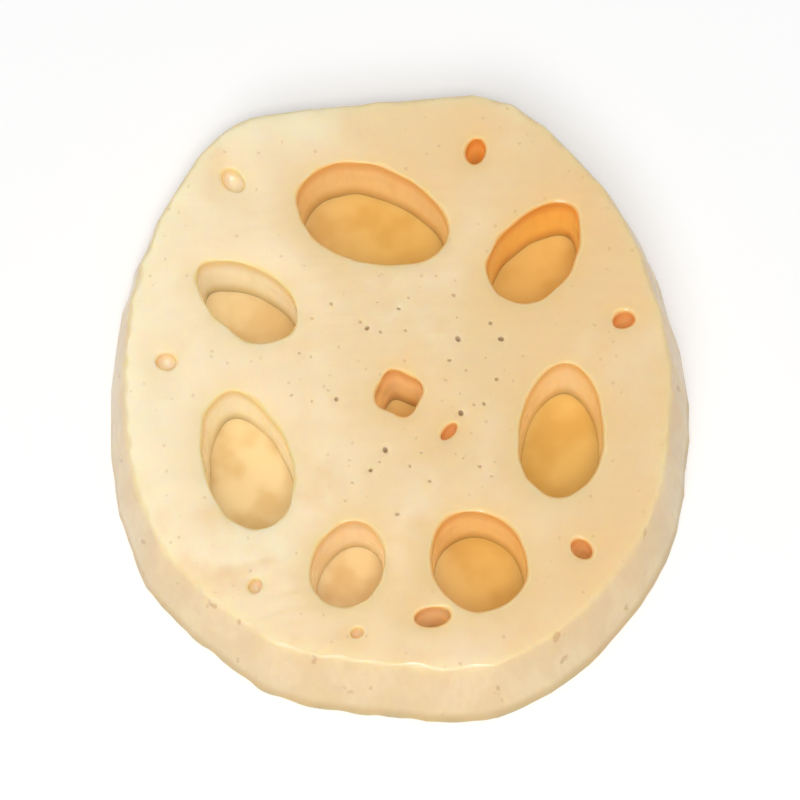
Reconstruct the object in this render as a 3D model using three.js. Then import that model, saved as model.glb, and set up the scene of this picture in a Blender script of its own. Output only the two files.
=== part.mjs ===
// One slice of peeled lotus root, lying on its wider cut face.
//
// Millimetres, +Z up. The origin lies under the middle of the slice's outline, on the surface
// that the slice rests on. +Y is the plant's own "up": the rhizome's air channels mirror each
// other about a line close to Y, with the widest channel at the +Y end of it.
//
// The slice is one solid. Every closed line in its face, the rim and each channel, is a loop of
// points. A loop is carried through the thickness as a stack of rings, and the two cut faces
// are triangulated between the first and the last rings.
import * as THREE from "three";

// Driving dimensions

const THICKNESS = 10; // between the two cut faces
const EDGE = 0.45; // how far the rounding of a cut edge reaches, in from the face and across it
const EDGE_STEPS = 2; // strips in that rounding
const FLARE = 2.8; // how much further out the rim is at the lower face: the root widens downwards
const RIM_LEAN = new THREE.Vector2(0.3, -1.9); // drift of the rim from the upper face to the lower
const CHANNEL_LEAN = new THREE.Vector2(0.3, -0.6); // the same drift of every channel
const NARROWING = 0.3; // how much each channel's wall closes in by the lower face
const BULGE = 0.25; // how far the rim swells at mid height
const RIDGE = 26; // power of the soft minimum that rounds the ridges between the peeler's strokes
const RIM_SEGMENTS = 104;

// Each stroke of the peeler leaves a flat along the root: the direction that the flat faces, in
// degrees from +X, and its distance in mm from the central channel.
const PEELER_FLATS = [
  [12, 34.6],
  [32, 37.0],
  [52, 40.0],
  [96, 39.2],
  [141, 40.2],
  [160, 37.0],
  [180, 34.6],
  [199, 35.2],
  [230, 35.0],
  [263, 34.6],
  [297, 36.6],
  [322, 35.4],
  [350, 34.2],
];

// Air channels: centre from the central channel, half length and half width in mm, the
// direction of the length in degrees, and egg, which draws the end that it points to narrower.
const MAIN_CHANNELS = [
  { at: [-3.3, 23.7], half: [9.9, 6.4], turn: -20, egg: 0.1 },
  { at: [-19.4, 12.4], half: [7.2, 4.3], turn: 143, egg: 0.2 },
  { at: [-19.0, -8.5], half: [9.1, 5.3], turn: 107, egg: 0.12 },
  { at: [-6.2, -21.9], half: [5.5, 4.4], turn: 72, egg: 0.1 },
  { at: [9.7, -21.4], half: [6.4, 5.7], turn: 118, egg: 0.05 },
  { at: [20.2, -4.7], half: [8.6, 5.2], turn: 84, egg: 0.12 },
  { at: [17.5, 18.8], half: [7.5, 4.8], turn: 54, egg: 0.18 },
];
const CENTRAL_CHANNEL = { at: [0, 0], half: [2.8, 2.95], turn: 20, square: 0.07 };
const SIDE_CHANNEL = { at: [6.2, -5.0], half: [1.35, 0.65], turn: 50 };

// Small channels between the main ones, near the rim.
const SMALL_CHANNELS = [
  { at: [9.8, 32.4], half: [1.7, 1.2], turn: 78 },
  { at: [-21.2, 28.4], half: [1.8, 1.2], turn: 128 },
  { at: [-29.2, 4.2], half: [1.25, 1.1], turn: 0 },
  { at: [-17.6, -24.6], half: [0.9, 0.75], turn: 50 },
  { at: [-5.1, -30.5], half: [0.8, 0.65], turn: 20 },
  { at: [4.1, -28.5], half: [2.2, 1.2], turn: 8 },
  { at: [22.4, -20.0], half: [1.4, 1.1], turn: 140 },
  { at: [28.2, 9.6], half: [1.4, 1.05], turn: 20 },
];

// Loops: closed lists of points, counter-clockwise seen from above

const radians = THREE.MathUtils.degToRad;

/** The points of a loop whose place at each share of a full turn is given by a function. */
function loopOf(segments, pointAt) {
  return Array.from({ length: segments }, (_, i) => pointAt((2 * Math.PI * i) / segments));
}

/** The rim: the soft minimum of the distances to the peeler's flats, in every direction. */
function rimLoop() {
  return loopOf(RIM_SEGMENTS, (angle) => {
    const crowding = PEELER_FLATS.reduce((sum, [facing, distance]) => {
      const share = Math.max(0, Math.cos(angle - radians(facing))) / distance;
      return sum + share ** RIDGE;
    }, 0);
    const radius = crowding ** (-1 / RIDGE);
    return new THREE.Vector2(radius * Math.cos(angle), radius * Math.sin(angle));
  });
}

/** One channel: an ellipse, drawn narrower at one end by egg and squarer by square. */
function channelLoop({ at, half, turn, egg = 0, square = 0 }, segments) {
  const centre = new THREE.Vector2(...at);
  return loopOf(segments, (angle) => {
    const swell = 1 + square * Math.cos(4 * angle);
    const along = half[0] * Math.cos(angle) * swell;
    const across = half[1] * Math.sin(angle) * swell * (1 - egg * Math.cos(angle));
    return new THREE.Vector2(along, across)
      .rotateAround(new THREE.Vector2(), radians(turn))
      .add(centre);
  });
}

/** A loop moved outwards by a distance, each point square to the line through its neighbours. */
function grown(loop, distance) {
  return loop.map((point, i) => {
    const before = loop.at(i - 1);
    const after = loop[(i + 1) % loop.length];
    const along = after.clone().sub(before).normalize();
    return new THREE.Vector2(along.y, -along.x).multiplyScalar(distance).add(point);
  });
}

/** A loop moved so that the middle of the rim's outline comes to the origin. */
function centred(loop, middle) {
  return loop.map((point) => point.clone().sub(middle));
}

// Levels: how a cut edge is rounded, from the lower face to the upper

/** Heights through the slice, each with how far the wall has drawn back from its full size. */
function levels() {
  const rounding = Array.from({ length: EDGE_STEPS + 1 }, (_, i) => {
    const angle = (Math.PI / 2) * (i / EDGE_STEPS);
    return { height: EDGE * (1 - Math.sin(angle)), drawnBack: EDGE * (1 - Math.cos(angle)) };
  });
  const lower = rounding.toReversed();
  const upper = rounding.map(({ height, drawnBack }) => ({
    height: THICKNESS - height,
    drawnBack,
  }));
  return [...lower, { height: THICKNESS / 2, drawnBack: 0 }, ...upper];
}

/** The rings of one loop, with its lean, widening and narrowing at each level. */
function ringsOf(loop, isRim) {
  const lean = isRim ? RIM_LEAN : CHANNEL_LEAN;
  return levels().map(({ height, drawnBack }) => {
    const depth = 1 - height / THICKNESS;
    const swelling = BULGE * 4 * depth * (1 - depth);
    const growth = isRim ? FLARE * depth + swelling - drawnBack : drawnBack - NARROWING * depth;
    return grown(loop, growth).map(
      (point) => new THREE.Vector3(point.x + lean.x * depth, point.y + lean.y * depth, height),
    );
  });
}

// The solid

/** Adds the wall between the rings of one loop. A channel's wall faces into the channel. */
function addWall(index, rings, first, isRim) {
  const count = rings[0].length;
  for (let level = 0; level + 1 < rings.length; level++) {
    for (let i = 0; i < count; i++) {
      const low = first + level * count + i;
      const lowNext = first + level * count + ((i + 1) % count);
      const high = low + count;
      const highNext = lowNext + count;
      const faces = [low, lowNext, highNext, low, highNext, high];
      index.push(...(isRim ? faces : faces.reverse()));
    }
  }
}

/** Adds one cut face, triangulated between the rim and the channels, seen from above. */
function addFace(index, loops, numbers, facesUp) {
  const [rim, ...channels] = loops;
  const points = loops.flat();
  for (const [a, b, c] of THREE.ShapeUtils.triangulateShape(rim, channels)) {
    const turn = new THREE.Vector2()
      .subVectors(points[b], points[a])
      .cross(new THREE.Vector2().subVectors(points[c], points[a]));
    const upwards = turn > 0 === facesUp ? [a, b, c] : [a, c, b];
    index.push(...upwards.map((i) => numbers[i]));
  }
}

/** The slice as one closed surface, from its loops: the rim first, then every channel. */
function sliceGeometry(loops) {
  const vertices = [];
  const index = [];
  const lowerFace = { loops: [], numbers: [] };
  const upperFace = { loops: [], numbers: [] };
  loops.forEach((loop, i) => {
    const isRim = i === 0;
    const rings = ringsOf(loop, isRim);
    const first = vertices.length;
    vertices.push(...rings.flat());
    addWall(index, rings, first, isRim);
    const last = first + (rings.length - 1) * loop.length;
    for (const [face, ring, start] of [
      [lowerFace, rings[0], first],
      [upperFace, rings.at(-1), last],
    ]) {
      face.loops.push(ring.map((point) => new THREE.Vector2(point.x, point.y)));
      face.numbers.push(...ring.map((_, at) => start + at));
    }
  });
  addFace(index, lowerFace.loops, lowerFace.numbers, false);
  addFace(index, upperFace.loops, upperFace.numbers, true);
  const geometry = new THREE.BufferGeometry().setFromPoints(vertices);
  geometry.setIndex(index);
  geometry.computeVertexNormals();
  return geometry;
}

const rim = rimLoop();
const channels = [
  ...MAIN_CHANNELS.map((channel) => channelLoop(channel, 32)),
  channelLoop(CENTRAL_CHANNEL, 20),
  channelLoop(SIDE_CHANNEL, 12),
  ...SMALL_CHANNELS.map((channel) => channelLoop(channel, 12)),
];

// The lower face is the widest, so its box is the whole slice's.
const widest = new THREE.Box2().setFromPoints(ringsOf(rim, true).flat());
const middle = widest.getCenter(new THREE.Vector2());

const flesh = new THREE.MeshStandardMaterial({ color: 0xefd6aa, roughness: 0.35, metalness: 0 });
const slice = new THREE.Mesh(
  sliceGeometry([rim, ...channels].map((loop) => centred(loop, middle))),
  flesh,
);
slice.name = "lotus_root_slice";

const part = new THREE.Group();
part.add(slice);

export default part;
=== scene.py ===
# %% [markdown]
# # A slice of peeled lotus root
#
# Lotus root is the swollen stem that a lotus grows under water. Air channels run along it: a
# ring of wide ones, narrow ones outside them, and one down the middle. Cut across, it shows
# its well-known pattern of holes. This slice is peeled, wet and a little translucent.
#
# The slice is already packed as a plain solid of the right size, and this script makes the
# surface that is seen: round lips on every channel, the peeler's flats, the waver of the
# knife, the pits of cut vessels, hollows where a channel is closed, and flesh that light sinks
# into. It could be sculpted by hand, but a surface worked out from formulas stays true to the
# solid, and every detail of it can be changed by a number.

import bpy
import numpy as np
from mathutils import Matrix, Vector
from mathutils.geometry import delaunay_2d_cdt


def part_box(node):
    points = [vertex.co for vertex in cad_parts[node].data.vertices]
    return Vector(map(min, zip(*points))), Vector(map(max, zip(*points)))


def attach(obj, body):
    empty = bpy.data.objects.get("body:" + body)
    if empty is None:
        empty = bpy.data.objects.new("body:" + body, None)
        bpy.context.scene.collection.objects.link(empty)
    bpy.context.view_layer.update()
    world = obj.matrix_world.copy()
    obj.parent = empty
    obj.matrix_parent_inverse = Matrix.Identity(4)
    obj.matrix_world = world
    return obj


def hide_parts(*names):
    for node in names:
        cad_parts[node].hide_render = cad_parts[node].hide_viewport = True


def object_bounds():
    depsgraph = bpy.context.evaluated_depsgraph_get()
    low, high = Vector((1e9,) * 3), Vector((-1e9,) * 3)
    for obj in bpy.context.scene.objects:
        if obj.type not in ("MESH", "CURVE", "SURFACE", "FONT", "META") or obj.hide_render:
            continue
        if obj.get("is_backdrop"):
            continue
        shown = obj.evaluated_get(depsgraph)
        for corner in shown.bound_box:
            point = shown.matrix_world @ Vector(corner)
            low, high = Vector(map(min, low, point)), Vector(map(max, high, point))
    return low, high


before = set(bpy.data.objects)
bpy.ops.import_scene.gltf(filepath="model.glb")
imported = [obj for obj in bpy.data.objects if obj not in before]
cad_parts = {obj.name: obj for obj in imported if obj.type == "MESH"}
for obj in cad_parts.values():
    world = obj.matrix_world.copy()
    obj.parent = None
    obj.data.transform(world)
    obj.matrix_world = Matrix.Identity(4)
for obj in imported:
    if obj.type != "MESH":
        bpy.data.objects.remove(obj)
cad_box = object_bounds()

scene = bpy.context.scene
low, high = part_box("lotus_root_slice")
print("the solid:", sorted(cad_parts), "from", tuple(low), "to", tuple(high))

# %% [markdown]
# ## Camera
#
# A flat slice tells most from above, but straight down its rim and the walls of its channels
# are hidden. So the camera looks down steeply, not quite straight, and shows a strip of both.
# A long lens from far away keeps the outline true, where a short lens close by would swell
# the near edge.

# %% Camera
CAMERA_ELEVATION = np.radians(73)
CAMERA_LENS = 135.0  # mm, over Blender's own 36 mm wide sensor
PICTURE_SPAN = 0.101  # metres across the picture at the slice

middle = (low + high) / 2
backwards = Vector((0, -np.cos(CAMERA_ELEVATION), np.sin(CAMERA_ELEVATION)))
camera = bpy.data.objects.new("camera", bpy.data.cameras.new("camera"))
camera.data.lens = CAMERA_LENS
camera_distance = PICTURE_SPAN * CAMERA_LENS / camera.data.sensor_width
camera.location = middle + backwards * camera_distance
camera.rotation_euler = backwards.to_track_quat("Z", "Y").to_euler()
camera.data.clip_start = 0.01
scene.collection.objects.link(camera)
scene.camera = camera
print("camera distance, m:", round(camera_distance, 3))

# %% [markdown]
# ## Helpers for nodes
#
# The world, the floor and the flesh are all built from nodes. A few short helpers keep that
# readable: each adds one node to a tree, with its inputs as numbers, colours or links, and
# gives back the socket that comes out.

# %% Node helpers
class Nodes:
    """Adds nodes to one node tree."""

    def __init__(self, tree):
        self.tree = tree

    def add(self, kind, inputs=(), **settings):
        """A node with its settings, its inputs given by name or number as a value or a link."""
        made = self.tree.nodes.new(kind)
        for name, value in settings.items():
            setattr(made, name, value)
        for name, value in dict(inputs).items():
            if isinstance(value, bpy.types.NodeSocket):
                self.tree.links.new(value, made.inputs[name])
            else:
                made.inputs[name].default_value = value
        return made

    def maths(self, operation, one, two=0.0):
        """The result of a Math node on two values or links."""
        return self.add("ShaderNodeMath", {0: one, 1: two}, operation=operation).outputs[0]

    def ranged(self, value, from_low, from_high, to_low=0.0, to_high=1.0):
        """A value carried from one range to another and held inside it, with soft ends."""
        ends = {"From Min": from_low, "From Max": from_high, "To Min": to_low, "To Max": to_high}
        inputs = {"Value": value} | ends
        return self.add("ShaderNodeMapRange", inputs, interpolation_type="SMOOTHSTEP").outputs[0]

    def laid_over(self, under, over, mask):
        """The colour over laid on the colour under, as far as the mask says."""
        inputs = {"Factor": mask, 6: under, 7: over}
        return self.add("ShaderNodeMix", inputs, data_type="RGBA").outputs[2]

    def noise(self, place, per_metre, detail=3.0, stretch=(1, 1, 1), turn=0.0):
        """Noise from 0 to 1 over places, with so many features to the metre."""
        mapped = {"Vector": place, "Rotation": (0, 0, turn), "Scale": stretch}
        inputs = {"Vector": self.add("ShaderNodeMapping", mapped).outputs[0]}
        inputs |= {"Scale": per_metre, "Detail": detail}
        return self.add("ShaderNodeTexNoise", inputs).outputs["Fac"]

    def bump(self, height, distance):
        """A normal from a height from 0 to 1 that stands for so many metres."""
        inputs = {"Height": height, "Distance": distance}
        return self.add("ShaderNodeBump", inputs).outputs["Normal"]

    def seen_directly(self):
        """1 for camera, glossy and transmission rays, else 0."""
        path = self.add("ShaderNodeLightPath").outputs
        mirrored = self.maths("MAXIMUM", path["Is Glossy Ray"], path["Is Transmission Ray"])
        return self.maths("MAXIMUM", path["Is Camera Ray"], mirrored)


def linear(red, green, blue):
    """A colour as a screen shows it, 0 to 255, made linear: below 0.04045 a thirteenth of it,
    above it the power 2.4 of (value + 0.055) / 1.055."""
    shown = np.array([red, green, blue]) / 255
    curve = np.where(shown <= 0.04045, shown / 12.92, ((shown + 0.055) / 1.055) ** 2.4)
    return (*curve, 1.0)


print("helpers ready, middle grey is", round(linear(128, 128, 128)[0], 3))

# %% [markdown]
# ## Floor and light
#
# The slice lies on a white floor that meets a white background without a horizon. The world
# gives a soft light from all sides, as a light tent does, and three lamps give it directions.
# The key is wide and stands to the front and left. The front lamp is narrower and higher, so
# that it shines down into the channels. The sheen stands behind, where the wet face mirrors
# it faintly. Together they are about as bright as a world of strength 1 alone, so that each
# colour renders about as it is written.
#
# The camera, and mirror reflections, see the world as plain white. That is done with Light
# Path, which tells what kind of ray is asking, and not with more light on the slice.

# %% World and lamps
TENT_LIGHT = 0.33
WHITE = (1, 1, 1, 1)

world = bpy.data.worlds.new("light tent")
world.use_nodes = True
tent = Nodes(world.node_tree)
lighting = tent.add("ShaderNodeBackground", {"Color": WHITE, "Strength": TENT_LIGHT}).outputs[0]
shown = tent.add("ShaderNodeBackground", {"Color": WHITE}).outputs[0]
either = tent.add("ShaderNodeMixShader", {"Fac": tent.seen_directly(), 1: lighting, 2: shown})
world_output = world.node_tree.nodes["World Output"]
world.node_tree.links.new(either.outputs[0], world_output.inputs["Surface"])
scene.world = world


def area_lamp(name, shape, size, watts, place):
    """A flat lamp at a place, turned towards the slice."""
    lamp = bpy.data.objects.new(name, bpy.data.lights.new(name, "AREA"))
    lamp.data.shape = shape
    lamp.data.size, lamp.data.size_y = size
    lamp.data.energy = watts
    lamp.location = place
    lamp.rotation_euler = (lamp.location - middle).to_track_quat("Z", "Y").to_euler()
    scene.collection.objects.link(lamp)


# Each: name, shape, size both ways in metres, watts and place in metres.
LAMPS = [
    ("key", "DISK", (1.1, 1.1), 11.2, (-0.41, -1.13, 1.45)),
    ("front", "DISK", (0.5, 0.5), 10.0, (0.07, -0.55, 1.50)),
    ("sheen", "RECTANGLE", (0.3, 0.5), 1.3, (-0.22, 0.48, 1.45)),
]
for lamp_facts in LAMPS:
    area_lamp(*lamp_facts)
print("lamps:", [name for name, *facts in LAMPS])

# %% Floor
FLOOR_WHITE = linear(249, 249, 249)
FLOOR_REACH = 2  # metres from the origin to each side of the floor
FLOOR_CORNERS = [(-1, -1), (1, -1), (1, 1), (-1, 1)]

floor_mesh = bpy.data.meshes.new("floor")
floor_points = [(FLOOR_REACH * x, FLOOR_REACH * y, 0) for x, y in FLOOR_CORNERS]
floor_mesh.from_pydata(floor_points, [], [(0, 1, 2, 3)])
floor = bpy.data.objects.new("floor", floor_mesh)
scene.collection.objects.link(floor)
floor_paint = bpy.data.materials.new("floor paint")
floor_paint.use_nodes = True
paint = Nodes(floor_paint.node_tree)
coat = floor_paint.node_tree.nodes["Principled BSDF"]
coat.inputs["Roughness"].default_value = 1.0
coat.inputs["Specular IOR Level"].default_value = 0.0
floor_mesh.materials.append(floor_paint)
floor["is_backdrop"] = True
scene.view_settings.view_transform = "Standard"
print("floor:", floor.name)

# %% [markdown]
# ## Painted gold light under the slice
#
# The floor under the slice is painted gold. It is painted light: the gold that light takes on
# between the amber walls. It shows only through the channels. It is paler under the pale channels,
# at -X, than under the amber ones, and it has deeper patches of painted shade.
#
# The camera sees the floor a little brighter than the lamps make it, so that the open floor
# reaches white. It sees the painted gold brighter by much more: a painted glow that stands for the
# gold light which comes from all round between real amber walls. Only the camera and mirror
# reflections see either lift.

# %% Painted gold light under the slice
FLOOR_LIFT = 0.08  # share of its own colour that the open floor adds
PAINTED_GOLD_LIFT = 0.5  # the same for the painted gold: a painted glow
PAINTED_GOLD_REACH = 0.0355  # metres from the origin at which the painted gold has faded to nothing
PAINTED_GOLD_EDGE = 0.95  # share of that reach at which it starts to fade
# Painted light: the gold that light takes on between amber walls, laid on the floor.
PAINTED_GOLD_PALE = (0.61, 0.47, 0.24, 1)
PAINTED_GOLD_AMBER = (0.53, 0.335, 0.095, 1)
PAINTED_GOLD_DEEP = (0.40, 0.19, 0.023, 1)
PAINTED_GOLD_SLANT = 0.3  # how much of y is added to x to tell the pale side from the amber side
PALE_UNTIL, AMBER_FROM = -0.016, 0.006  # metres along that slant
PATCHES_PER_METRE = 150.0
PATCH_SHARE = 0.4  # how far the deepest patch goes towards the deep colour

floor_place = paint.add("ShaderNodeTexCoord").outputs["Object"]
from_origin = paint.add("ShaderNodeVectorMath", {0: floor_place}, operation="LENGTH")
reach = paint.ranged(from_origin.outputs["Value"], PAINTED_GOLD_REACH, PAINTED_GOLD_REACH * PAINTED_GOLD_EDGE)
above = paint.maths("SUBTRACT", 1.0, paint.add("ShaderNodeNewGeometry").outputs["Backfacing"])
painted_gold_mask = paint.maths("MULTIPLY", reach, above)

floor_axes = paint.add("ShaderNodeSeparateXYZ", {0: floor_place}).outputs
slant = paint.maths("MULTIPLY", floor_axes["Y"], PAINTED_GOLD_SLANT)
slanted = paint.maths("ADD", floor_axes["X"], slant)
to_amber = paint.ranged(slanted, PALE_UNTIL, AMBER_FROM)
painted_gold_colour = paint.laid_over(PAINTED_GOLD_PALE, PAINTED_GOLD_AMBER, to_amber)
# Deeper patches of painted shade in the painted gold.
painted_dark_patches = paint.noise(floor_place, PATCHES_PER_METRE, 2.5)
painted_dark_patches = paint.ranged(painted_dark_patches, 0.40, 0.66, 0, PATCH_SHARE)
painted_gold_colour = paint.laid_over(painted_gold_colour, PAINTED_GOLD_DEEP, painted_dark_patches)
floor_colour = paint.laid_over(FLOOR_WHITE, painted_gold_colour, painted_gold_mask)
paint.tree.links.new(floor_colour, coat.inputs["Base Color"])
paint.tree.links.new(floor_colour, coat.inputs["Emission Color"])
# Painted glow: for the camera, the gold under the slice lights itself.
lift = paint.ranged(painted_gold_mask, 0, 1, FLOOR_LIFT, PAINTED_GOLD_LIFT)
lift = paint.maths("MULTIPLY", paint.seen_directly(), lift)
paint.tree.links.new(lift, coat.inputs["Emission Strength"])
print("print under the slice, mm across:", 2000 * PAINTED_GOLD_REACH)

# %% [markdown]
# ## Measures
#
# Blender works in metres, but a slice is easier to describe in millimetres, so every length
# is in millimetres from here until the mesh is made. The thickness comes from the packed
# solid. The rest are the root's own facts, the same ones that shaped the solid: how the root
# widens downwards, how its axis leans, the flats that the peeler left, and the channels.

# %% The slice's measures
MM = 0.001
THICKNESS = (high.z - low.z) / MM
EDGE = 0.45  # radius of the rounding where a wall meets a cut face
FLARE = 2.8  # how much further out the rim is at the lower face
BULGE = 0.25  # how far the rim swells at mid height
NARROWING = 0.3  # how much each channel closes in by the lower face
RIM_LEAN = np.array([0.3, -1.9])  # drift of the rim down through the slice
CHANNEL_LEAN = np.array([0.3, -0.6])  # the same drift of every channel and vessel
RIDGE = 26  # power of the soft minimum that rounds the ridges between flats

# The direction that each flat faces, in degrees from +X, and its distance from the centre.
PEELER_FLATS = np.array(
    [
        (12, 34.6), (32, 37.0), (52, 40.0), (96, 39.2), (141, 40.2), (160, 37.0), (180, 34.6),
        (199, 35.2), (230, 35.0), (263, 34.6), (297, 36.6), (322, 35.4), (350, 34.2),
    ]
)
print("thickness, mm:", round(THICKNESS, 2), "flats:", len(PEELER_FLATS))

# %% [markdown]
# ## Channels
#
# Each channel is an ellipse with one end drawn narrower. Its amber says how deep the colour of its
# lining is, from 0, hardly darker than the flesh, to 1, a deep amber. The amber is partly the
# lining's own colour and partly painted shade, deeper where a channel holds darker, warmer shade,
# so it differs from channel to channel.

# %% The list of channels
# Each: centre, half length and half width, direction of the length in degrees, how much the
# end that it points to is narrowed, how squared it is, and its amber.
CHANNELS = [
    ((-3.3, 23.7), (9.9, 6.4), -20, 0.10, 0, 0.70),
    ((-19.4, 12.4), (7.2, 4.3), 143, 0.20, 0, 0.20),
    ((-19.0, -8.5), (9.1, 5.3), 107, 0.12, 0, 0.18),
    ((-6.2, -21.9), (5.5, 4.4), 72, 0.10, 0, 0.46),
    ((9.7, -21.4), (6.4, 5.7), 118, 0.05, 0, 0.76),
    ((20.2, -4.7), (8.6, 5.2), 84, 0.12, 0, 0.55),
    ((17.5, 18.8), (7.5, 4.8), 54, 0.18, 0, 1.00),
    ((0, 0), (2.8, 2.95), 20, 0, 0.07, 0.70),
    ((6.2, -5.0), (1.35, 0.65), 50, 0, 0, 0.70),
    ((9.8, 32.4), (1.7, 1.2), 78, 0, 0, 0.95),
    ((4.1, -28.5), (2.2, 1.2), 8, 0, 0, 0.55),
    ((22.4, -20.0), (1.4, 1.1), 140, 0, 0, 0.70),
    ((28.2, 9.6), (1.4, 1.05), 20, 0, 0, 0.75),
    ((-21.2, 28.4), (1.8, 1.2), 128, 0, 0, 0.08),
    ((-29.2, 4.2), (1.25, 1.1), 0, 0, 0, 0.08),
    ((-17.6, -24.6), (0.9, 0.75), 50, 0, 0, 0.08),
    ((-5.1, -30.5), (0.8, 0.65), 20, 0, 0, 0.10),
]
FIRST_CLOSED = 13  # this one and those after it are closed by a septum under each face
LEAST_POINTS = 40  # in a channel's outline
POINTS_PER_MM = 8  # more for each whole millimetre of its half length
RIM_POINTS = 660
print("channels:", len(CHANNELS), "of which closed:", len(CHANNELS) - FIRST_CLOSED)


# %% Outlines
def full_turn(count):
    """Angles of count points, evenly spaced once round from +X."""
    return np.arange(count) * 2 * np.pi / count


def channel_loop(at, half, turn, egg, square, amber):
    """One channel's outline: along = half length * cos, across = half width * sin * (1 - egg
    cos), both swelled by 1 + square * cos of four times the angle, turned and moved to at."""
    angle = full_turn(LEAST_POINTS + POINTS_PER_MM * int(max(half)))
    swell = 1 + square * np.cos(4 * angle)
    along = half[0] * np.cos(angle) * swell
    across = half[1] * np.sin(angle) * swell * (1 - egg * np.cos(angle))
    c, s = np.cos(np.radians(turn)), np.sin(np.radians(turn))
    return np.stack([along * c - across * s, along * s + across * c], axis=1) + at


def rim_loop(count):
    """The rim's outline. In each direction its radius is the soft minimum of the distances to
    the flats: the sum of (cosine of the angle to a flat / its distance) to the power RIDGE,
    to the power -1 / RIDGE."""
    angle = full_turn(count)[:, None]
    share = np.maximum(0, np.cos(angle - np.radians(PEELER_FLATS[:, 0]))) / PEELER_FLATS[:, 1]
    radius = (share**RIDGE).sum(axis=1, keepdims=True) ** (-1 / RIDGE)
    return radius * np.hstack([np.cos(angle), np.sin(angle)])


def outwards(loop):
    """Unit normals of a loop, each square to the line through the point's two neighbours."""
    along = np.roll(loop, -1, axis=0) - np.roll(loop, 1, axis=0)
    along /= np.linalg.norm(along, axis=1, keepdims=True)
    return np.stack([along[:, 1], -along[:, 0]], axis=1)


def inside(loop, places):
    """True for each place inside a loop: a ray from it towards +X crosses the loop's sides an
    odd number of times."""
    one, two = loop, np.roll(loop, -1, axis=0)
    x, y = places[:, :1], places[:, 1:2]
    rise = two[:, 1] - one[:, 1]
    reach = one[:, 0] + (y - one[:, 1]) * (two[:, 0] - one[:, 0]) / np.where(rise == 0, 1, rise)
    crossed = ((one[:, 1] > y) != (two[:, 1] > y)) & (reach > x)
    return crossed.sum(axis=1) % 2 == 1


def distance(loop, places):
    """Distance from each place to the nearest point of a loop."""
    square = (places**2).sum(axis=1)[:, None] + (loop**2).sum(axis=1) - 2 * places @ loop.T
    return np.sqrt(np.maximum(square.min(axis=1), 0))


rim = rim_loop(RIM_POINTS)
channels = [channel_loop(*channel) for channel in CHANNELS]
print("rim across, mm:", np.ptp(rim, axis=0).round(1), "channels:", len(channels))

# %% [markdown]
# ## Through the thickness
#
# A wall is a loop carried through the thickness row by row. Each cut edge is a quarter circle,
# because a knife's edge drags wet flesh into a small round lip. One more row, a collar, lies
# on the face round the lip, so that the face's own points start clear of it.
#
# A Bevel modifier could round the lips too, but on a thousand short edges its result hangs on
# the order of the faces. With rows, the lip is the same everywhere, and each row can be
# pushed in or out by a formula.

# %% Rows of a wall
LIP_STEPS = 6
WALL_STEPS = 12  # strips between the two lips
COLLAR = 0.16  # how far the collar lies from its lip


def lip_rows(lip):
    """Depths below the face and distances drawn back of a lip's rows, from its collar on the
    face to the wall: lip * (1 - cos) and lip * (1 - sin) of an angle that goes from flat to
    upright. The lip has a radius for each point of its loop."""
    bend = np.linspace(0, np.pi / 2, LIP_STEPS + 1)[:, None]
    depth = np.concatenate([0 * lip[None, :], lip * (1 - np.cos(bend))])
    back = np.concatenate([lip[None, :] + COLLAR, lip * (1 - np.sin(bend))])
    return depth, back


def wall_rows(upper_lip, lower_lip):
    """Heights of a wall's rows, from the lower face up, and how far each row draws back."""
    (upper_depth, upper_back), (lower_depth, lower_back) = lip_rows(upper_lip), lip_rows(lower_lip)
    straight = np.linspace(lower_lip, THICKNESS - upper_lip, WALL_STEPS + 1)[1:-1]
    height = np.concatenate([lower_depth, straight, THICKNESS - upper_depth[::-1]])
    return height, np.concatenate([lower_back, 0 * straight, upper_back[::-1]])


def wall(loop, height, growth, lean):
    """The rows of a loop: each point moves outwards by growth, drifts by lean times its depth
    below the upper face, and takes its height. Growth and height have a value for each row and
    point."""
    depth = 1 - height / THICKNESS
    flat = loop + outwards(loop) * growth[..., None] + lean * depth[..., None]
    return np.dstack([flat, height])


print("rows in a wall:", len(wall_rows(np.array([EDGE]), np.array([EDGE]))[0]))

# %% [markdown]
# ## Uneven by nature
#
# Nothing that grew is a perfect ellipse, and no hand peels perfect flats. Slow, smooth
# unevenness comes from ripples: a sum of a few cosine waves in random directions, which is
# smooth everywhere and has no grid of its own, as tiled noise would. Each use has its own
# seed, so the slice is the same on every run.

# %% Ripples and strokes
STROKES = 31
STROKE_WIDTHS = (0.5, 1.5)  # the narrowest and the widest, over the mean
STROKE_HOLLOW = 0.3  # depth of the deepest stroke
SHALLOWEST_STROKE = 0.35  # over the deepest
STROKE_SLANT = 0.05  # radians that a stroke drifts round the rim from face to face


def ripples(places, length, seed, waves=9):
    """A smooth random height, mostly from -1 to 1: the sum of cosine waves with random headings
    and phases and about one wave length, over the square root of their number."""
    draw = np.random.default_rng(seed)
    heading = draw.normal(size=(waves, places.shape[-1]))
    heading /= np.linalg.norm(heading, axis=1, keepdims=True)
    turns = heading * 2 * np.pi / (length * draw.uniform(0.7, 1.5, (waves, 1)))
    phase = draw.uniform(0, 2 * np.pi, waves)
    return np.cos(places @ turns.T + phase).sum(axis=-1) / np.sqrt(waves)


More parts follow.
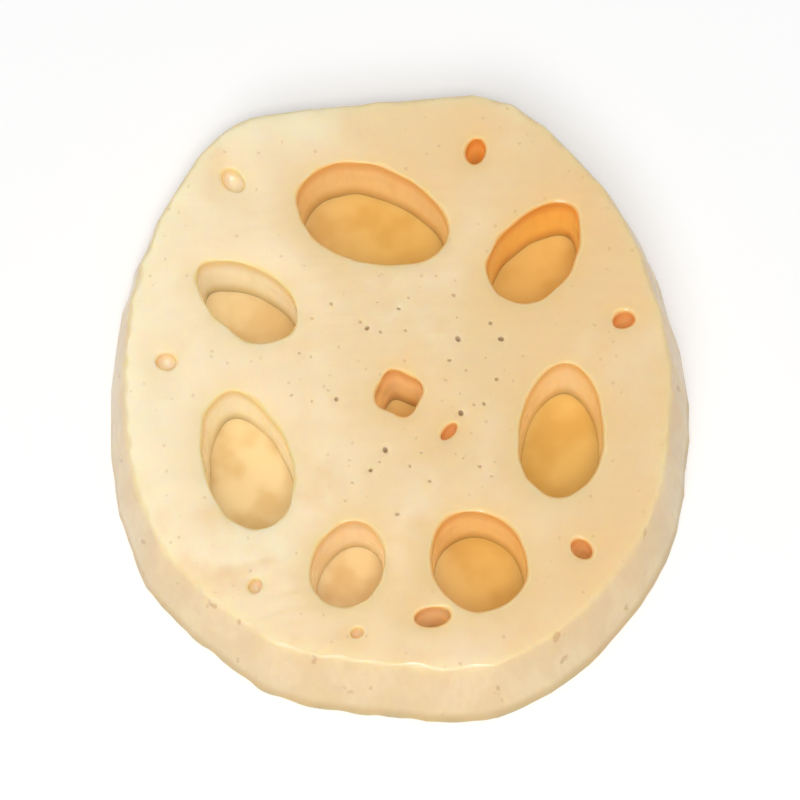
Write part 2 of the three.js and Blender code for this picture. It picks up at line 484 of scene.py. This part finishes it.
def stroke_hollows(angle, depth):
    """How far the peeler's narrow strokes cut in: across each, a parabola that is 0 at the
    ridges on its two sides and its own share of STROKE_HOLLOW along its middle."""
    draw = np.random.default_rng(11)
    width = draw.uniform(*STROKE_WIDTHS, STROKES)
    ridge = np.concatenate([[0], np.cumsum(width)]) * 2 * np.pi / width.sum()
    share = draw.uniform(SHALLOWEST_STROKE, 1.0, STROKES)
    place = (angle + STROKE_SLANT * depth) % (2 * np.pi)
    which = np.searchsorted(ridge, place, side="right") - 1
    across = (place - ridge[which]) / (ridge[which + 1] - ridge[which])
    return STROKE_HOLLOW * share[which] * 4 * across * (1 - across)


print("deepest stroke, mm:", stroke_hollows(full_turn(RIM_POINTS), 0).max().round(2))

# %% Walls of the rim and of the channels
RIM_LIP = 0.7
CHANNEL_LIP = 0.45
LIP_TO_GAP = 0.46  # the most that a lip and its collar take of the gap to the next edge
LIP_TO_HALF = 0.55  # the most that a lip takes of its channel's half width
CRISPER_BELOW = 0.35  # a channel's lower lip over its upper one, as it lay against the board
LIP_VARIATION = 3.5  # length along an edge over which its lip goes from crisp to soft
WAVER = 0.09  # how far a lining wavers in and out
WAVER_LENGTH = 5.0
ALONG_ROOT = 0.4  # how much slower it wavers along the root than round the channel
FULL_WAVER = 8  # width of the narrowest channel that wavers in full


def rim_growth(height, back):
    """The rim grows outwards with depth by FLARE, swells by BULGE times a parabola that peaks at
    mid height, and draws back at its lips."""
    depth = 1 - height / THICKNESS
    return FLARE * depth + BULGE * 4 * depth * (1 - depth) - back


def uneven(lip, loop, seed):
    """A lip's radius for each point of a loop: from a third of lip, where the knife cut crisply,
    to the whole of it, where the flesh gave."""
    return lip * (0.67 + 0.33 * np.clip(ripples(loop, LIP_VARIATION, seed), -1, 1))


def rim_wall():
    """The rim's wall, cut in a little by the peeler's strokes."""
    lip = uneven(RIM_LIP, rim, 41)
    height, back = wall_rows(lip, lip)
    hollows = stroke_hollows(full_turn(RIM_POINTS), 1 - height / THICKNESS)
    return wall(rim, height, rim_growth(height, back) - hollows, RIM_LEAN), back


def channel_lip(number):
    """The radius of a channel's lips at each of its points: at most CHANNEL_LIP, or less where
    the channel is small or has a close neighbour."""
    loop = channels[number]
    others = np.concatenate([rim] + channels[:number] + channels[number + 1 :])
    gap = distance(others, loop).min()
    narrowest = min(CHANNELS[number][1])
    most = min(CHANNEL_LIP, LIP_TO_GAP * gap - COLLAR, LIP_TO_HALF * narrowest)
    return uneven(most, loop, 60 + number)


def lining_rows(number, height, back):
    """Rows of a channel's lining: it closes in with depth by NARROWING, opens at its lips, and
    wavers."""
    loop = channels[number]
    growth = back - NARROWING * (1 - height / THICKNESS)
    stretched = wall(loop, height, growth, CHANNEL_LEAN) * [1, 1, ALONG_ROOT]
    size = min(1, np.ptp(loop, axis=0).min() / FULL_WAVER)
    waver = WAVER * size * ripples(stretched, WAVER_LENGTH, 100 + number)
    return wall(loop, height, growth + waver, CHANNEL_LEAN)


def channel_wall(number):
    """An open channel's wall, from the lower face to the upper."""
    lip = channel_lip(number)
    height, back = wall_rows(lip, lip * CRISPER_BELOW)
    return lining_rows(number, height, back), back


walls, walls_back = zip(rim_wall(), *(channel_wall(i) for i in range(FIRST_CLOSED)))
print("walls:", len(walls))

# %% The outline's middle
# The outline's middle comes to the origin, as it does in the solid.
plain_lip = np.full(RIM_POINTS, EDGE)
height, back = wall_rows(plain_lip, plain_lip)
plain_rim = wall(rim, height, rim_growth(height, back), RIM_LEAN)[..., :2]
centre = (plain_rim.min(axis=(0, 1)) + plain_rim.max(axis=(0, 1))) / 2
walls = [rows - [*centre, 0] for rows in walls]
print("outline's middle, mm:", centre.round(2), "wall points:", sum(w[..., 0].size for w in walls))

# %% [markdown]
# ## Septa
#
# Some of the narrow channels are closed by a septum, a film of flesh that grew across them, so
# the face shows them as pale hollows. A hollow is the channel's own wall for a short way, and
# then a round floor. Its rows end in one point, as the rows of a sphere end in a pole.

# %% Hollows over the septa
SEPTUM_DEPTH = 1.9  # from the cut face to the lowest point of the hollow
SEPTUM_ROUNDING = 0.9  # how much of that is the round floor
SEPTUM_STEPS = 8


def hollow(number, upper):
    """The rows of a hollow, from the collar to the point at the bottom. The floor is a quarter
    ellipse: its depth goes as the sine and its width as the cosine of one angle."""
    depth, back = lip_rows(channel_lip(number))
    bend = np.linspace(0, np.pi / 2, SEPTUM_STEPS + 1)[:, None]
    floor_depth = SEPTUM_DEPTH - SEPTUM_ROUNDING * (1 - np.sin(bend)) + 0 * depth[:1]
    sunk = np.concatenate([depth, floor_depth])
    back = np.concatenate([back, 0 * floor_depth])
    width = np.concatenate([np.ones((len(depth), 1)), np.cos(bend)])
    rows = lining_rows(number, THICKNESS - sunk if upper else sunk, back)
    axis = rows[..., :2].mean(axis=1, keepdims=True)
    rows[..., :2] = axis + (rows[..., :2] - axis) * width[..., None]
    return rows - [*centre, 0], back


print("hollows, mm deep:", SEPTUM_DEPTH, "in channels", list(range(FIRST_CLOSED, len(channels))))

# %% [markdown]
# ## Vessels
#
# Fine vessels run along the root beside the air channels. The knife cuts them open, and each
# shows on a face as a pit smaller than a millimetre, browned where it met the air. They crowd
# round the central channel. The plain ones are placed one by one, and the finer ones are
# drawn at random from a ring and kept where they are clear of channels and of each other.

# %% Places of the vessels
# Each: place from the central channel, radius, depth and how browned it is, from 0 to 1.
PLAIN_VESSELS = [
    (-4.0, 8.5, 0.30, 0.5, 0.9),
    (7.4, 7.1, 0.38, 0.6, 0.9),
    (12.8, 7.1, 0.36, 0.6, 1.0),
    (11.5, 9.2, 0.26, 0.4, 0.7),
    (-1.7, -7.4, 0.38, 0.6, 1.0),
    (-3.5, -10.0, 0.26, 0.5, 0.9),
    (7.7, -2.6, 0.38, 0.7, 1.0),
    (0.0, 11.1, 0.24, 0.4, 0.6),
    (-7.8, -0.8, 0.28, 0.5, 0.7),
    (12.2, 1.8, 0.26, 0.4, 0.6),
    (10.6, -1.4, 0.26, 0.4, 0.6),
    (-0.2, -15.6, 0.28, 0.4, 0.5),
    (6.3, 4.3, 0.24, 0.4, 0.5),
    (-2.3, 8.0, 0.20, 0.3, 0.5),
    (0.8, 8.2, 0.20, 0.3, 0.4),
    (-8.5, 11.7, 0.22, 0.3, 0.4),
    (6.9, 12.9, 0.26, 0.4, 0.4),
    (10.0, -9.5, 0.24, 0.4, 0.4),
    (3.8, -11.4, 0.22, 0.3, 0.5),
    (1.4, -9.5, 0.20, 0.3, 0.5),
]
FINE_VESSELS = 30
FINE_RING = (6.0, 17.0)  # radii between which the fine ones lie
FINE_LEAST, FINE_MOST = (0.13, 0.1, 0.1), (0.2, 0.2, 0.4)  # of radius, depth and browning
CANDIDATES = 400
VESSEL_GAP = 1.1  # least distance between two vessels
CHANNEL_GAP = 1.3  # and from a fine vessel to a channel


def clear_of_channels(places, gap):
    """True for each place that lies outside every channel by more than gap."""
    clear = np.ones(len(places), bool)
    for loop in channels:
        clear &= ~inside(loop, places) & (distance(loop, places) > gap)
    return clear


def fine_vessels():
    """Places drawn evenly over FINE_RING, the first FINE_VESSELS of them that are clear."""
    draw = np.random.default_rng(5)
    angle = draw.uniform(0, 2 * np.pi, CANDIDATES)
    radius = np.sqrt(draw.uniform(FINE_RING[0] ** 2, FINE_RING[1] ** 2, CANDIDATES))
    places = np.stack([radius * np.cos(angle), radius * np.sin(angle)], axis=1)
    details = draw.uniform(FINE_LEAST, FINE_MOST, (CANDIDATES, 3))
    candidates = np.hstack([places, details])[clear_of_channels(places, CHANNEL_GAP)]
    kept = [np.array(vessel) for vessel in PLAIN_VESSELS]
    for vessel in candidates:
        if min(np.hypot(*(vessel[:2] - other[:2])) for other in kept) > VESSEL_GAP:
            kept.append(vessel)
    return np.array(kept[: len(PLAIN_VESSELS) + FINE_VESSELS])


vessels = fine_vessels()
print("vessels:", len(vessels), "of which fine:", len(vessels) - len(PLAIN_VESSELS))

# %% Rows of the pits
PIT_SIDES = 10
PIT_COLLAR = 0.12
PIT_OVAL = 0.15  # how much longer than round a pit is, in a direction of its own
PIT_SINK = 0.5  # share of its vessel's depth that a pit sinks
# The rows of a pit: its collar, its brink, two on its side and its bottom point. Each row has
# a share of the pit's radius and of its depth, and is browned by a share.
PIT_WIDTHS = np.array([1, 1, 0.85, 0.55, 0.0])[:, None]
PIT_DEPTHS = np.array([0, 0.06, 0.5, 0.85, 1.0])[:, None]
PIT_BROWNING = np.array([0, 0.15, 0.55, 0.9, 1])[:, None]


def pits(upper):
    """All pits of one face, as an array of pit, row, side and coordinate. Each point lies at
    its row's radius times 1 + PIT_OVAL * cos of twice (its angle + the pit's x)."""
    ring = full_turn(PIT_SIDES)
    x, y, radius, deep = (vessels[:, i, None, None] for i in range(4))
    reach = radius * PIT_WIDTHS
    reach[:, 0] += PIT_COLLAR
    sunk = PIT_SINK * deep * PIT_DEPTHS + 0 * ring
    oval = 1 + PIT_OVAL * np.cos(2 * (ring + x))
    places = np.stack([x + reach * oval * np.cos(ring), y + reach * oval * np.sin(ring)], -1)
    if upper:
        return np.concatenate([places - centre, (THICKNESS - sunk)[..., None]], axis=-1)
    return np.concatenate([places + CHANNEL_LEAN - centre, sunk[..., None]], axis=-1)


print("points in the pits of one face:", pits(True)[..., 0].size)

# %% [markdown]
# ## Cut faces
#
# Each face fills the space between the collars of the rim, the channels and the pits. A grid
# of its own can't follow so many round edges, so its points lie on an even hexagonal net with
# those near an edge left out, and a Delaunay triangulation joins them up. Many small
# triangles matter here: a face of a few long ones couldn't carry the knife's waver or the
# colour that fades away from each channel.

# %% A net of points and its triangles
NET = 0.68  # distance between neighbours
NET_SHIFT = 0.08  # the most that a point is moved each way, so that no straight rows show
NET_GAP = 0.4  # least distance from a collar


def net_points(loops):
    """A hexagonal net over the first loop, without the points outside it, inside any other
    loop, or nearer than NET_GAP to a collar."""
    reach = np.abs(loops[0]).max()
    columns = np.arange(-reach, reach, NET)
    rows = np.arange(-reach, reach, NET * np.sqrt(0.75))
    x, y = np.meshgrid(columns, rows)
    x = x + NET / 2 * (np.arange(len(rows)) % 2)[:, None]
    places = np.stack([x.ravel(), y.ravel()], axis=1)
    places = places + np.random.default_rng(3).uniform(-NET_SHIFT, NET_SHIFT, places.shape)
    places = places[inside(loops[0], places)]
    for number, loop in enumerate(loops):
        near = distance(loop, places) < NET_GAP
        places = places[~(near | (inside(loop, places) if number else False))]
    return places


def face_triangles(loops, net):
    """Triangles between the loops and over the net, as numbers into the loops' points and then
    the net's. One whose corners all lie on one loop fills a hole, and is dropped."""
    points = np.concatenate([*loops, net])
    sizes = [len(loop) for loop in loops]
    starts = np.cumsum([0, *sizes])
    sides = [
        (start + i, start + (i + 1) % size)
        for start, size in zip(starts, sizes)
        for i in range(size)
    ]
    made = delaunay_2d_cdt([Vector(p) for p in points], sides, [], 0, 1e-7)
    number = np.array([sources[0] for sources in made[3]])
    triangles = number[np.array(made[2])]
    owner = np.concatenate([np.repeat(np.arange(len(loops)), sizes), -1 - np.arange(len(net))])
    of_one_loop = np.ptp(owner[triangles], axis=1) == 0
    return triangles[~of_one_loop]


print("net, mm between rows:", round(NET * np.sqrt(0.75), 2))

# %% [markdown]
# ## One closed skin
#
# The walls, the pits and the two faces share their border points, so that the skin is closed.
# Each part is added to one list of places, and marks go with it that the flesh's material
# reads later: how amber the lining is, how much a point belongs to the rim, and how browned a
# pit is.

# %% Lists for the skin
skin_places, skin_triangles, skin_marks = [], [], []


def add_places(places, lining=0.0, rim_share=0.0, browned=0.0):
    """Adds places with their marks and returns their numbers, in the same layout."""
    first = sum(len(block) for block in skin_places)
    flat = places.reshape(-1, 3)
    skin_places.append(flat)
    marks = np.stack(np.broadcast_arrays(lining, rim_share, browned, flat[:, 0])[:3], axis=1)
    skin_marks.append(marks)
    return first + np.arange(len(flat)).reshape(places.shape[:-1])


def strips(numbers):
    """Triangles of closed strips between the rows of a grid of numbers, the last column joined
    to the first. They face outwards where the rows rise and the columns go round leftwards."""
    here, after = numbers, np.roll(numbers, -1, axis=-1)
    low_here, low_after = here[..., :-1, :], after[..., :-1, :]
    high_here, high_after = here[..., 1:, :], after[..., 1:, :]
    first = np.stack([low_here, low_after, high_after], axis=-1).reshape(-1, 3)
    second = np.stack([low_here, high_after, high_here], axis=-1).reshape(-1, 3)
    return np.concatenate([first, second])


def add_triangles(triangles, flip=False):
    """Adds triangles, turned over if flip, without those that have two corners in one."""
    sound = (triangles != np.roll(triangles, 1, axis=1)).all(axis=1)
    skin_triangles.append(triangles[sound][:, ::-1] if flip else triangles[sound])


def fading(back):
    """1 on a wall, falling over its lips to 0 at its widest collar, for each point of its rows."""
    return (1 - back / back.max(axis=0)).ravel()


print("parts to come: walls", len(walls), "and on each face", len(vessels), "pits")

# %% Walls in the skin
wall_numbers = []
for number, (rows, back) in enumerate(zip(walls, walls_back)):
    if number == 0:
        wall_numbers.append(add_places(rows, rim_share=fading(back)))
    else:
        lining = CHANNELS[number - 1][-1] * fading(back)
        wall_numbers.append(add_places(rows, lining=lining))
    add_triangles(strips(wall_numbers[-1]), flip=number > 0)
print("triangles in the walls:", sum(len(block) for block in skin_triangles))

# %% Hollows, pits and faces in the skin
for upper in (True, False):
    hollow_borders = []
    for number in range(FIRST_CLOSED, len(channels)):
        rows, back = hollow(number, upper)
        numbers = add_places(rows, lining=CHANNELS[number][-1] * fading(back))
        numbers[-1] = numbers[-1, 0]  # the bottom row is one point
        add_triangles(strips(numbers), flip=not upper)
        hollow_borders.append(numbers[0])
    rows = pits(upper)
    browned = vessels[:, 4, None, None] * PIT_BROWNING
    browned = np.broadcast_to(browned, rows.shape[:-1]).ravel()
    numbers = add_places(rows, browned=browned)
    numbers[:, -1, :] = numbers[:, -1, :1]  # the bottom row is one point
    add_triangles(strips(numbers), flip=not upper)
    border = [rows_of[-1 if upper else 0] for rows_of in wall_numbers]
    border += hollow_borders + list(numbers[:, 0, :])
    every_place = np.concatenate(skin_places)
    loops = [every_place[numbers_of][:, :2] for numbers_of in border]
    net = net_points(loops)
    height = np.full((len(net), 1), THICKNESS if upper else 0.0)
    net_numbers = add_places(np.hstack([net, height]))
    face = np.concatenate([*border, net_numbers])[face_triangles(loops, net)]
    add_triangles(face, flip=not upper)
    print("upper" if upper else "lower", "face:", len(net), "net points,", len(face), "triangles")

places = np.concatenate(skin_places)
triangles = np.concatenate(skin_triangles)
marks = np.concatenate(skin_marks)
used, triangles = np.unique(triangles, return_inverse=True)
triangles = triangles.reshape(-1, 3)
places, marks = places[used], marks[used]
print("skin:", len(places), "points,", len(triangles), "triangles")

# %% [markdown]
# ## The knife
#
# A knife through crisp, wet flesh leaves a face that is nearly flat. It wavers slowly over
# its length, dips beside the channels where thin flesh gave way under the blade, and bears
# faint parallel steps where the blade stuck and slipped. All of it lies under the flat of the
# solid, so the slice keeps its size.

# %% Shaping the cut faces
KNIFE_WAVER = 0.09
WAVER_SPAN = 30  # length of the slow waver
KNIFE_STEPS = 0.022
STEP_LENGTH = 1.9  # from one step to the next
STEP_CURVE = 0.004  # how fast the steps bend away from the line x = STEP_MIDDLE
STEP_MIDDLE = 12
STEP_DRIFT, DRIFT_LENGTH = 0.35, 14  # how far the steps stray from their curve, and over what
LIP_DIP = 0.07
DIP_REACH = 2  # distance from a channel in which the dip falls to about a third
LOWER_SHARE = 0.6  # the lower face's marks over the upper's


def knife_marks(flat, seed):
    """How far a cut face lies below the flat one, never less than 0: a slow waver, and fine
    steps that are ripples of y + STEP_CURVE * (x - STEP_MIDDLE) squared + a drift."""
    slow = KNIFE_WAVER * (1 + 0.5 * ripples(flat, WAVER_SPAN, seed))
    drift = STEP_DRIFT * ripples(flat, DRIFT_LENGTH, seed + 1)
    line = flat[:, 1] + STEP_CURVE * (flat[:, 0] - STEP_MIDDLE) ** 2 + drift
    steps = KNIFE_STEPS * (1 + ripples(line[:, None], STEP_LENGTH, seed + 2, waves=14) / 2)
    return np.maximum(slow + steps, 0)


def nearest_channel(flat):
    """Distance to the nearest channel's edge, and that channel's amber, for each place."""
    amber = np.array([channel[-1] for channel in CHANNELS])
    edges = [loop + outwards(loop) * CHANNEL_LIP - centre for loop in channels]
    away = np.stack([distance(edge, flat) for edge in edges])
    return away.min(axis=0), amber[away.argmin(axis=0)]


to_channel, near_amber = nearest_channel(places[:, :2])
dip = LIP_DIP * np.exp(-to_channel / DIP_REACH)
rise = places[:, 2] / THICKNESS
places[:, 2] -= rise * (knife_marks(places[:, :2], 21) + dip)
places[:, 2] += (1 - rise) * (knife_marks(places[:, :2], 31) + dip) * LOWER_SHARE
places[:, 2] -= places[:, 2].min()
print("height after cutting, mm:", places[:, 2].min().round(3), places[:, 2].max().round(3))

# %% [markdown]
# ## The mesh
#
# The arrays go into a mesh in one step each. A closed surface has exactly two triangles on
# every side of a triangle, and a positive volume means that they face outwards, so both are
# counted before the mesh is trusted.

# %% Making the piece
HALO_REACH = 2.4  # distance from a channel in which its halo falls to about a third
PALE_HALO = 0.4  # the halo at the edge of a channel whose amber is 0, where amber 1 gives 1


def check_closed(places, triangles):
    """Stops unless each side is shared by two triangles that run along it in opposite ways.
    Gives the volume: a sixth of the sum of each triangle's corners' triple product."""
    sides = np.concatenate([triangles[:, [0, 1]], triangles[:, [1, 2]], triangles[:, [2, 0]]])
    code = sides[:, 0].astype(np.int64) * len(places) + sides[:, 1]
    back = sides[:, 1].astype(np.int64) * len(places) + sides[:, 0]
    if len(np.unique(code)) != len(code) or not np.isin(code, back).all():
        raise ValueError("the skin isn't closed")
    a, b, c = (places[triangles[:, i]] for i in range(3))
    return (a * np.cross(b, c)).sum() / 6


def make_mesh(name, places, triangles):
    """A smooth mesh, in metres, from places in millimetres and their triangles."""
    mesh = bpy.data.meshes.new(name)
    mesh.vertices.add(len(places))
    mesh.vertices.foreach_set("co", (places * MM).ravel())
    mesh.loops.add(triangles.size)
    mesh.loops.foreach_set("vertex_index", triangles.ravel().astype(np.int32))
    mesh.polygons.add(len(triangles))
    mesh.polygons.foreach_set("loop_start", np.arange(0, triangles.size, 3, dtype=np.int32))
    mesh.update(calc_edges=True)
    mesh.shade_smooth()
    return mesh


def add_attribute(mesh, name, values):
    """One number for each point of the mesh, under a name that a material can read."""
    attribute = mesh.attributes.new(name, "FLOAT", "POINT")
    attribute.data.foreach_set("value", np.asarray(values, dtype=np.float32))


halo = np.exp(-to_channel / HALO_REACH) * (PALE_HALO + (1 - PALE_HALO) * near_amber)
volume = check_closed(places, triangles)
mesh = make_mesh("lotus_root", places, triangles)
for number, name in enumerate(("lining", "rim", "browned")):
    add_attribute(mesh, name, marks[:, number])
add_attribute(mesh, "halo", halo)
lotus_root = bpy.data.objects.new("lotus_root", mesh)
scene.collection.objects.link(lotus_root)
print("volume, cm3:", round(volume / 1000, 2))

# %% [markdown]
# ## Flesh
#
# Wet lotus root is ivory, and light sinks a few millimetres into it before it comes back out.
# That is what subsurface scattering gives: soft shadows in the channels and glowing edges.
# The colour is built in layers, each laid over the last by a mask: ivory that is paler at -X, a
# painted sheen, and warmer at +X, a slow mottling, yellower flesh beside the channels, dots of
# fine vessels, the peeled rim with its bands, fibres and flecks and a painted shade along its
# lower edge, the amber lining, partly painted shade and painted paler inside, and last the browned
# pits. One Principled shader takes the result, with a thin wet coat.
#
# Noise is given as features to the metre, then detail. The two numbers after a mask's value
# are where it starts and where it is full.

# %% Masks
flesh = bpy.data.materials.new("flesh")
flesh.use_nodes = True
tissue = Nodes(flesh.node_tree)
surface = flesh.node_tree.nodes["Principled BSDF"]
place = tissue.add("ShaderNodeTexCoord").outputs["Object"]
axes = tissue.add("ShaderNodeSeparateXYZ", {0: place}).outputs


def mark(name):
    """The value of a mark on the mesh."""
    return tissue.add("ShaderNodeAttribute", attribute_name=name).outputs["Fac"]


lining, rim_share, browned, beside = (mark(n) for n in ("lining", "rim", "browned", "halo"))
from_face = tissue.maths(
    "MINIMUM", axes["Z"], tissue.maths("SUBTRACT", float(THICKNESS * MM), axes["Z"])
)

# Vessels too fine to be pits: small dots in a cell pattern that is stretched along the root,
# so that they are dots on a cut face and fine lines on the rim. They come in clusters.
DOTS_PER_METRE = 620.0
STRETCHED = (1, 1, 0.02)
along_root = tissue.add("ShaderNodeMapping", {"Vector": place, "Scale": STRETCHED}).outputs[0]
cells = {"Vector": along_root, "Scale": DOTS_PER_METRE, "Randomness": 0.9}
to_cell = tissue.add("ShaderNodeTexVoronoi", cells).outputs["Distance"]
dots = tissue.ranged(to_cell, 0.22, 0.08)
clusters = tissue.ranged(tissue.noise(place, 900.0, 1.0), 0.52, 0.62)
fine_dots = tissue.maths("MULTIPLY", dots, clusters)
print("masks: nodes", len(tissue.tree.nodes))

# %% Colour of the cut flesh
IVORY = linear(240, 215, 167)
PALE = linear(247, 233, 200)
WARM = linear(236, 203, 148)
YELLOW = linear(238, 201, 136)
DOT = linear(208, 174, 124)
YELLOW_SHARE = 0.6  # of the yellow that the halo brings
DOT_SHARE = 0.45

pale_clouds = tissue.ranged(tissue.noise(place, 75.0), 0.45, 0.75)
warm_clouds = tissue.ranged(tissue.noise(place, 140.0, 4.0), 0.5, 0.8, 0, 0.7)
# Painted sheen: the face is painted paler towards -X, like a faint wet reflection.
painted_sheen_side = tissue.ranged(axes["X"], 0.006, -0.036, 0, 0.75)
warm_side = tissue.ranged(axes["X"], -0.012, 0.030, 0, 0.5)
colour = tissue.laid_over(IVORY, PALE, pale_clouds)
colour = tissue.laid_over(colour, PALE, painted_sheen_side)
colour = tissue.laid_over(colour, WARM, warm_side)
colour = tissue.laid_over(colour, WARM, warm_clouds)
colour = tissue.laid_over(colour, YELLOW, tissue.maths("MULTIPLY", beside, YELLOW_SHARE))
colour = tissue.laid_over(colour, DOT, tissue.maths("MULTIPLY", fine_dots, DOT_SHARE))
print("with the cut flesh: nodes", len(tissue.tree.nodes))

# %% Colour of the peeled rim
# Each stroke of the peeler cut to a depth of its own, so the rim has bands of slightly
# different tone along the root, with fine fibres in them and a few flecks of what was skin.
PEELED = linear(231, 203, 158)
PEELED_DEEPER = linear(236, 211, 168)  # where a stroke went deeper, into paler flesh
FIBRE = linear(225, 193, 146)
FLECK = linear(196, 150, 96)
SHADED_HEEL = linear(214, 170, 112)  # painted shade along the lower edge, where the slice meets the floor
SHADED_HEEL_TOP, SHADED_HEEL_FULL = 0.0028, 0.0008  # metres above the lower face
FIBRE_SHARE = 0.25
PEELED_SHARE = 0.85  # how much of the cut flesh's colour the peeled colour covers

bands = tissue.ranged(tissue.noise(place, 230.0, 1.0, (1, 1, 0.05)), 0.42, 0.6)
fibres = tissue.ranged(tissue.noise(place, 1100.0, 2.0, (1, 1, 0.04)), 0.4, 0.7)
flecks = tissue.ranged(tissue.noise(place, 520.0, 2.0, (1, 1, 0.5)), 0.66, 0.74, 0, 0.6)
peeled = tissue.laid_over(PEELED, PEELED_DEEPER, bands)
# Painted shade: the rim is darker towards its lower edge.
shaded_heel = tissue.ranged(axes["Z"], SHADED_HEEL_TOP, SHADED_HEEL_FULL, 0, 0.85)
peeled = tissue.laid_over(peeled, FIBRE, tissue.maths("MULTIPLY", fibres, FIBRE_SHARE))
peeled = tissue.laid_over(peeled, FLECK, flecks)
peeled = tissue.laid_over(peeled, SHADED_HEEL, shaded_heel)
colour = tissue.laid_over(colour, peeled, tissue.maths("MULTIPLY", rim_share, PEELED_SHARE))
print("with the rim: nodes", len(tissue.tree.nodes))

# %% Colour of linings and pits
# A lining is deepest in colour at its lips. Inside, it is painted paler: painted light that makes
# up for the shade between the walls, which deepens it again.
LIP_PALE = linear(250, 220, 160)
LIP_DEEP = linear(232, 158, 70)
LIGHTENED_INNER_PALE = linear(255, 246, 220)
LIGHTENED_INNER_DEEP = linear(255, 194, 90)
BROWN = linear(170, 138, 94)
INNER_DEPTH = 0.0035  # metres from a face at which a lining has its inner colour
STREAK_SHARE = 0.18
FULL_LINING = 0.09  # amber from which a point counts as wholly on a lining

# The amber of a lining is partly its own colour and partly painted shade.
lip_colour = tissue.laid_over(LIP_PALE, LIP_DEEP, lining)
lightened_inner_colour = tissue.laid_over(LIGHTENED_INNER_PALE, LIGHTENED_INNER_DEEP, lining)
inner = tissue.ranged(from_face, 0.0, INNER_DEPTH)
lining_colour = tissue.laid_over(lip_colour, lightened_inner_colour, inner)
streaks = tissue.ranged(tissue.noise(place, 1100.0, 3.0, (1, 1, 0.06)), 0.45, 0.75)
streaks = tissue.maths("MULTIPLY", streaks, STREAK_SHARE)
lining_colour = tissue.laid_over(lining_colour, lip_colour, streaks)
on_lining = tissue.ranged(lining, 0.0, FULL_LINING)
colour = tissue.laid_over(colour, lining_colour, on_lining)
colour = tissue.laid_over(colour, BROWN, browned)
tissue.tree.links.new(colour, surface.inputs["Base Color"])
print("with the linings and pits: nodes", len(tissue.tree.nodes))

# %% Wetness and depth
# The peeled rim has dried a little, so it is duller than the cut faces. Roughness is even on
# each, because a fine pattern in it would glitter where the face is seen at a low angle.
SCATTER_REACH = 0.0035  # metres that red light travels in the flesh
SCATTER_BY_COLOUR = (1.0, 0.76, 0.32)  # red, green and blue, over that reach

wetness = tissue.ranged(tissue.noise(place, 210.0, 2.0), 0.4, 0.6, 0.4, 1.0)
wetness = tissue.maths("MULTIPLY", wetness, tissue.ranged(rim_share, 0, 1, 1, 0.4))
roughness = tissue.ranged(rim_share, 0, 1, 0.25, 0.4)
tissue.tree.links.new(roughness, surface.inputs["Roughness"])
tissue.tree.links.new(wetness, surface.inputs["Coat Weight"])
surface.inputs["Coat Roughness"].default_value = 0.1
surface.inputs["Coat IOR"].default_value = 1.33
surface.inputs["IOR"].default_value = 1.4
surface.inputs["Subsurface Weight"].default_value = 1.0
surface.inputs["Subsurface Scale"].default_value = SCATTER_REACH
surface.inputs["Subsurface Radius"].default_value = SCATTER_BY_COLOUR
scatter_reach = np.array(SCATTER_BY_COLOUR) * SCATTER_REACH / MM
print("light travels in the flesh, mm:", scatter_reach.round(1))

# %% Light through the flesh
# Light also comes through the flesh into the channels from further away than the scatter
# reaches. A faint glow of the lining's own colour stands for it.
THROUGH_LIGHT = 0.12
BLACK = (0, 0, 0, 1)

glow = tissue.laid_over(BLACK, lining_colour, tissue.maths("MULTIPLY", on_lining, inner))
tissue.tree.links.new(glow, surface.inputs["Emission Color"])
surface.inputs["Emission Strength"].default_value = THROUGH_LIGHT
print("glow in the channels, over the lining's colour:", THROUGH_LIGHT)

# %% Fine relief
# A cut face has a fine grain and the lines of the blade, the rim has its fibres, and a lining
# is smooth.
RELIEF = 0.00002  # metres
GRAIN_SHARE, LINES_SHARE, FIBRES_SHARE = 0.3, 0.6, 0.9
LINES_TURN = 0.3  # radians from +X

grain = tissue.maths("MULTIPLY", tissue.noise(place, 1800.0, 2.0), GRAIN_SHARE)
cut_lines = tissue.noise(place, 1300.0, 2.0, (0.06, 1, 1), LINES_TURN)
cut_lines = tissue.maths("MULTIPLY", cut_lines, LINES_SHARE)
cut_relief = tissue.maths("ADD", grain, cut_lines)
off_lining = tissue.maths("SUBTRACT", 1.0, on_lining)
cut_relief = tissue.maths("MULTIPLY", cut_relief, off_lining)
fibre_relief = tissue.maths("MULTIPLY", fibres, rim_share)
fibre_relief = tissue.maths("MULTIPLY", fibre_relief, FIBRES_SHARE)
relief = tissue.maths("ADD", cut_relief, fibre_relief)
tissue.tree.links.new(tissue.bump(relief, RELIEF), surface.inputs["Normal"])
mesh.materials.append(flesh)
print("flesh: nodes", len(tissue.tree.nodes))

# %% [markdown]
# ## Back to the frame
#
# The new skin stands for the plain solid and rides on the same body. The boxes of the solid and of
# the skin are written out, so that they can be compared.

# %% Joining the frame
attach(lotus_root, "root")
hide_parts("lotus_root_slice")

visual_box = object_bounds()
boxes = {
    "cad": [list(corner) for corner in cad_box],
    "visual": [list(corner) for corner in visual_box],
}
for name, corners in boxes.items():
    print(name, [[round(value / MM, 2) for value in corner] for corner in corners])
